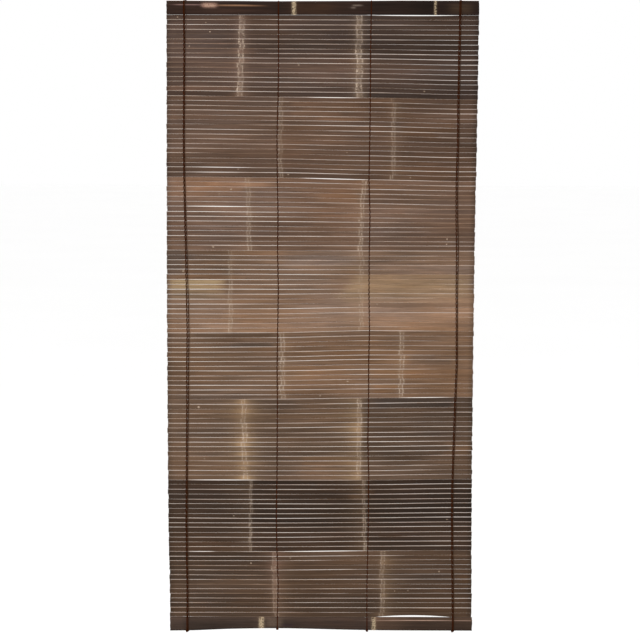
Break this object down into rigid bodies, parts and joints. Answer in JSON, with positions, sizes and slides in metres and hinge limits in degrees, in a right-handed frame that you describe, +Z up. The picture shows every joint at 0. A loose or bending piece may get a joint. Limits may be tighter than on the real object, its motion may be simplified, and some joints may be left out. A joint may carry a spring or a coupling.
{
  "type": "bamboo roll up blind",
  "caption": "Roll up blind of dark split bamboo slats, twined on warp threads between a head batten and a bottom batten, with lift cords that roll it up.",
  "frame": {"origin": "midway between the two hanging holes, on the back face of the head batten", "axes": "+Z up along the blind's height, +X to the right along the slats, +Y out of the back towards the wall, so the front faces -Y"},
  "size_m": [0.7845, 0.0192, 1.6108],
  "materials": {
    "slat_bamboo": "dark stained split bamboo, satin",
    "batten_bamboo": "very dark stained bamboo, satin",
    "thread": "dark brown twisted thread",
    "cord": "dark brown braided cord",
    "steel": "zinc plated steel"
  },
  "bodies": {
    "head": {"head_batten": "batten_bamboo", "hanger_plates": "steel", "hanger_nails": "steel", "cord_eyes": "steel", "warp_thread_1": "thread", "warp_thread_2": "thread", "warp_thread_3": "thread", "warp_thread_4": "thread", "lift_cord_left": "cord", "lift_cord_right": "cord"},
    "slat_group_01": {"slat_group_01": "slat_bamboo"},
    "slat_group_02": {"slat_group_02": "slat_bamboo"},
    "slat_group_03": {"slat_group_03": "slat_bamboo"},
    "slat_group_04": {"slat_group_04": "slat_bamboo"},
    "slat_group_05": {"slat_group_05": "slat_bamboo"},
    "slat_group_06": {"slat_group_06": "slat_bamboo"},
    "slat_group_07": {"slat_group_07": "slat_bamboo"},
    "slat_group_08": {"slat_group_08": "slat_bamboo"},
    "slat_group_09": {"slat_group_09": "slat_bamboo"},
    "slat_group_10": {"slat_group_10": "slat_bamboo"},
    "slat_group_11": {"slat_group_11": "slat_bamboo"},
    "slat_group_12": {"slat_group_12": "slat_bamboo"},
    "slat_group_13": {"slat_group_13": "slat_bamboo"},
    "slat_group_14": {"slat_group_14": "slat_bamboo"},
    "slat_group_15": {"slat_group_15": "slat_bamboo"},
    "slat_group_16": {"slat_group_16": "slat_bamboo"},
    "slat_group_17": {"slat_group_17": "slat_bamboo"},
    "slat_group_18": {"slat_group_18": "slat_bamboo"},
    "slat_group_19": {"slat_group_19": "slat_bamboo"},
    "slat_group_20": {"slat_group_20": "slat_bamboo"},
    "slat_group_21": {"slat_group_21": "slat_bamboo"},
    "slat_group_22": {"slat_group_22": "slat_bamboo"},
    "slat_group_23": {"slat_group_23": "slat_bamboo"},
    "slat_group_24": {"slat_group_24": "slat_bamboo"},
    "slat_group_25": {"slat_group_25": "slat_bamboo"},
    "slat_group_26": {"slat_group_26": "slat_bamboo"},
    "slat_group_27": {"slat_group_27": "slat_bamboo"},
    "slat_group_28": {"slat_group_28": "slat_bamboo"},
    "slat_group_29": {"slat_group_29": "slat_bamboo"},
    "slat_group_30": {"slat_group_30": "slat_bamboo"},
    "slat_group_31": {"slat_group_31": "slat_bamboo"},
    "slat_group_32": {"slat_group_32": "slat_bamboo"},
    "slat_group_33": {"slat_group_33": "slat_bamboo"},
    "slat_group_34": {"slat_group_34": "slat_bamboo"},
    "slat_group_35": {"slat_group_35": "slat_bamboo"},
    "slat_group_36": {"slat_group_36": "slat_bamboo"},
    "slat_group_37": {"slat_group_37": "slat_bamboo"},
    "slat_group_38": {"slat_group_38": "slat_bamboo"},
    "slat_group_39": {"slat_group_39": "slat_bamboo"},
    "slat_group_40": {"slat_group_40": "slat_bamboo"},
    "slat_group_41": {"slat_group_41": "slat_bamboo"},
    "slat_group_42": {"slat_group_42": "slat_bamboo"},
    "slat_group_43": {"slat_group_43": "slat_bamboo"},
    "slat_group_44": {"slat_group_44": "slat_bamboo"},
    "slat_group_45": {"slat_group_45": "slat_bamboo"},
    "slat_group_46": {"slat_group_46": "slat_bamboo"},
    "slat_group_47": {"slat_group_47": "slat_bamboo"},
    "slat_group_48": {"slat_group_48": "slat_bamboo"},
    "bottom_batten": {"bottom_batten": "batten_bamboo"}
  },
  "joints": [
    {"name": "roll_01", "type": "hinge", "parent": "head", "child": "slat_group_01", "pos_m": [0, -0.004, -0.0178], "axis": [-1, 0, 0], "range_deg": [-0.8, 3], "deforming": ["warp_thread_1", "warp_thread_2", "warp_thread_3", "warp_thread_4", "lift_cord_left", "lift_cord_right"]},
    {"name": "roll_02", "type": "hinge", "parent": "slat_group_01", "child": "slat_group_02", "pos_m": [0, -0.004, -0.04175], "axis": [-1, 0, 0], "range_deg": [-1, 4]},
    {"name": "roll_03", "type": "hinge", "parent": "slat_group_02", "child": "slat_group_03", "pos_m": [0, -0.004, -0.0657], "axis": [-1, 0, 0], "range_deg": [-1.5, 6]},
    {"name": "roll_04", "type": "hinge", "parent": "slat_group_03", "child": "slat_group_04", "pos_m": [0, -0.004, -0.08966], "axis": [-1, 0, 0], "range_deg": [-3, 12]},
    {"name": "roll_05", "type": "hinge", "parent": "slat_group_04", "child": "slat_group_05", "pos_m": [0, -0.004, -0.11362], "axis": [-1, 0, 0], "range_deg": [-5.3, 21.3]},
    {"name": "roll_06", "type": "hinge", "parent": "slat_group_05", "child": "slat_group_06", "pos_m": [0, -0.004, -0.13758], "axis": [-1, 0, 0], "range_deg": [-5.4, 21.5]},
    {"name": "roll_07", "type": "hinge", "parent": "slat_group_06", "child": "slat_group_07", "pos_m": [0, -0.004, -0.16155], "axis": [-1, 0, 0], "range_deg": [-5.4, 21.6]},
    {"name": "roll_08", "type": "hinge", "parent": "slat_group_07", "child": "slat_group_08", "pos_m": [0, -0.004, -0.18552], "axis": [-1, 0, 0], "range_deg": [-5.4, 21.7]},
    {"name": "roll_09", "type": "hinge", "parent": "slat_group_08", "child": "slat_group_09", "pos_m": [0, -0.004, -0.2095], "axis": [-1, 0, 0], "range_deg": [-5.4, 21.8]},
    {"name": "roll_10", "type": "hinge", "parent": "slat_group_09", "child": "slat_group_10", "pos_m": [0, -0.004, -0.2335], "axis": [-1, 0, 0], "range_deg": [-5.5, 21.9]},
    {"name": "roll_11", "type": "hinge", "parent": "slat_group_10", "child": "slat_group_11", "pos_m": [0, -0.004, -0.2575], "axis": [-1, 0, 0], "range_deg": [-5.5, 22]},
    {"name": "roll_12", "type": "hinge", "parent": "slat_group_11", "child": "slat_group_12", "pos_m": [0, -0.004, -0.28151], "axis": [-1, 0, 0], "range_deg": [-5.6, 22.2]},
    {"name": "roll_13", "type": "hinge", "parent": "slat_group_12", "child": "slat_group_13", "pos_m": [0, -0.004, -0.30553], "axis": [-1, 0, 0], "range_deg": [-5.6, 22.3]},
    {"name": "roll_14", "type": "hinge", "parent": "slat_group_13", "child": "slat_group_14", "pos_m": [0, -0.004, -0.32957], "axis": [-1, 0, 0], "range_deg": [-5.6, 22.4]},
    {"name": "roll_15", "type": "hinge", "parent": "slat_group_14", "child": "slat_group_15", "pos_m": [0, -0.004, -0.35362], "axis": [-1, 0, 0], "range_deg": [-7.2, 28.6]},
    {"name": "roll_16", "type": "hinge", "parent": "slat_group_15", "child": "slat_group_16", "pos_m": [0, -0.004, -0.38972], "axis": [-1, 0, 0], "range_deg": [-8.6, 34.5]},
    {"name": "roll_17", "type": "hinge", "parent": "slat_group_16", "child": "slat_group_17", "pos_m": [0, -0.004, -0.42585], "axis": [-1, 0, 0], "range_deg": [-8.7, 34.9]},
    {"name": "roll_18", "type": "hinge", "parent": "slat_group_17", "child": "slat_group_18", "pos_m": [0, -0.004, -0.46203], "axis": [-1, 0, 0], "range_deg": [-8.8, 35.3]},
    {"name": "roll_19", "type": "hinge", "parent": "slat_group_18", "child": "slat_group_19", "pos_m": [0, -0.004, -0.49824], "axis": [-1, 0, 0], "range_deg": [-8.9, 35.7]},
    {"name": "roll_20", "type": "hinge", "parent": "slat_group_19", "child": "slat_group_20", "pos_m": [0, -0.004, -0.5345], "axis": [-1, 0, 0], "range_deg": [-9, 36.2]},
    {"name": "roll_21", "type": "hinge", "parent": "slat_group_20", "child": "slat_group_21", "pos_m": [0, -0.004, -0.5708], "axis": [-1, 0, 0], "range_deg": [-9.2, 36.7]},
    {"name": "roll_22", "type": "hinge", "parent": "slat_group_21", "child": "slat_group_22", "pos_m": [0, -0.004, -0.60714], "axis": [-1, 0, 0], "range_deg": [-9.3, 37.2]},
    {"name": "roll_23", "type": "hinge", "parent": "slat_group_22", "child": "slat_group_23", "pos_m": [0, -0.004, -0.64354], "axis": [-1, 0, 0], "range_deg": [-9.4, 37.7]},
    {"name": "roll_24", "type": "hinge", "parent": "slat_group_23", "child": "slat_group_24", "pos_m": [0, -0.004, -0.67998], "axis": [-1, 0, 0], "range_deg": [-9.6, 38.3]},
    {"name": "roll_25", "type": "hinge", "parent": "slat_group_24", "child": "slat_group_25", "pos_m": [0, -0.004, -0.71647], "axis": [-1, 0, 0], "range_deg": [-9.7, 38.9]},
    {"name": "roll_26", "type": "hinge", "parent": "slat_group_25", "child": "slat_group_26", "pos_m": [0, -0.004, -0.75301], "axis": [-1, 0, 0], "range_deg": [-9.9, 39.5]},
    {"name": "roll_27", "type": "hinge", "parent": "slat_group_26", "child": "slat_group_27", "pos_m": [0, -0.004, -0.7896], "axis": [-1, 0, 0], "range_deg": [-10, 40.1]},
    {"name": "roll_28", "type": "hinge", "parent": "slat_group_27", "child": "slat_group_28", "pos_m": [0, -0.004, -0.82625], "axis": [-1, 0, 0], "range_deg": [-10.2, 40.8]},
    {"name": "roll_29", "type": "hinge", "parent": "slat_group_28", "child": "slat_group_29", "pos_m": [0, -0.004, -0.86294], "axis": [-1, 0, 0], "range_deg": [-10.4, 41.5]},
    {"name": "roll_30", "type": "hinge", "parent": "slat_group_29", "child": "slat_group_30", "pos_m": [0, -0.004, -0.89968], "axis": [-1, 0, 0], "range_deg": [-10.6, 42.3]},
    {"name": "roll_31", "type": "hinge", "parent": "slat_group_30", "child": "slat_group_31", "pos_m": [0, -0.004, -0.93647], "axis": [-1, 0, 0], "range_deg": [-10.8, 43.1]},
    {"name": "roll_32", "type": "hinge", "parent": "slat_group_31", "child": "slat_group_32", "pos_m": [0, -0.004, -0.97331], "axis": [-1, 0, 0], "range_deg": [-11, 44]},
    {"name": "roll_33", "type": "hinge", "parent": "slat_group_32", "child": "slat_group_33", "pos_m": [0, -0.004, -1.01019], "axis": [-1, 0, 0], "range_deg": [-11.2, 45]},
    {"name": "roll_34", "type": "hinge", "parent": "slat_group_33", "child": "slat_group_34", "pos_m": [0, -0.004, -1.04712], "axis": [-1, 0, 0], "range_deg": [-11.5, 46]},
    {"name": "roll_35", "type": "hinge", "parent": "slat_group_34", "child": "slat_group_35", "pos_m": [0, -0.004, -1.08409], "axis": [-1, 0, 0], "range_deg": [-11.8, 47.1]},
    {"name": "roll_36", "type": "hinge", "parent": "slat_group_35", "child": "slat_group_36", "pos_m": [0, -0.004, -1.12111], "axis": [-1, 0, 0], "range_deg": [-12.1, 48.3]},
    {"name": "roll_37", "type": "hinge", "parent": "slat_group_36", "child": "slat_group_37", "pos_m": [0, -0.004, -1.15816], "axis": [-1, 0, 0], "range_deg": [-12.4, 49.7]},
    {"name": "roll_38", "type": "hinge", "parent": "slat_group_37", "child": "slat_group_38", "pos_m": [0, -0.004, -1.19524], "axis": [-1, 0, 0], "range_deg": [-12.8, 51.1]},
    {"name": "roll_39", "type": "hinge", "parent": "slat_group_38", "child": "slat_group_39", "pos_m": [0, -0.004, -1.23237], "axis": [-1, 0, 0], "range_deg": [-13.2, 52.8]},
    {"name": "roll_40", "type": "hinge", "parent": "slat_group_39", "child": "slat_group_40", "pos_m": [0, -0.004, -1.26952], "axis": [-1, 0, 0], "range_deg": [-13.6, 54.6]},
    {"name": "roll_41", "type": "hinge", "parent": "slat_group_40", "child": "slat_group_41", "pos_m": [0, -0.004, -1.3067], "axis": [-1, 0, 0], "range_deg": [-14.2, 56.7]},
    {"name": "roll_42", "type": "hinge", "parent": "slat_group_41", "child": "slat_group_42", "pos_m": [0, -0.004, -1.3439], "axis": [-1, 0, 0], "range_deg": [-14.8, 59.3]},
    {"name": "roll_43", "type": "hinge", "parent": "slat_group_42", "child": "slat_group_43", "pos_m": [0, -0.004, -1.38112], "axis": [-1, 0, 0], "range_deg": [-15.7, 62.8]},
    {"name": "roll_44", "type": "hinge", "parent": "slat_group_43", "child": "slat_group_44", "pos_m": [0, -0.004, -1.41836], "axis": [-1, 0, 0], "range_deg": [-16.8, 67.2]},
    {"name": "roll_45", "type": "hinge", "parent": "slat_group_44", "child": "slat_group_45", "pos_m": [0, -0.004, -1.45562], "axis": [-1, 0, 0], "range_deg": [-14.6, 58.2]},
    {"name": "roll_46", "type": "hinge", "parent": "slat_group_45", "child": "slat_group_46", "pos_m": [0, -0.004, -1.48046], "axis": [-1, 0, 0], "range_deg": [-12.3, 49.2]},
    {"name": "roll_47", "type": "hinge", "parent": "slat_group_46", "child": "slat_group_47", "pos_m": [0, -0.004, -1.5053], "axis": [-1, 0, 0], "range_deg": [-13, 52.1]},
    {"name": "roll_48", "type": "hinge", "parent": "slat_group_47", "child": "slat_group_48", "pos_m": [0, -0.004, -1.53015], "axis": [-1, 0, 0], "range_deg": [-14, 55.8]},
    {"name": "roll_49", "type": "hinge", "parent": "slat_group_48", "child": "bottom_batten", "pos_m": [0, -0.004, -1.555], "axis": [-1, 0, 0], "range_deg": [-20.2, 80.9]}
  ]
}
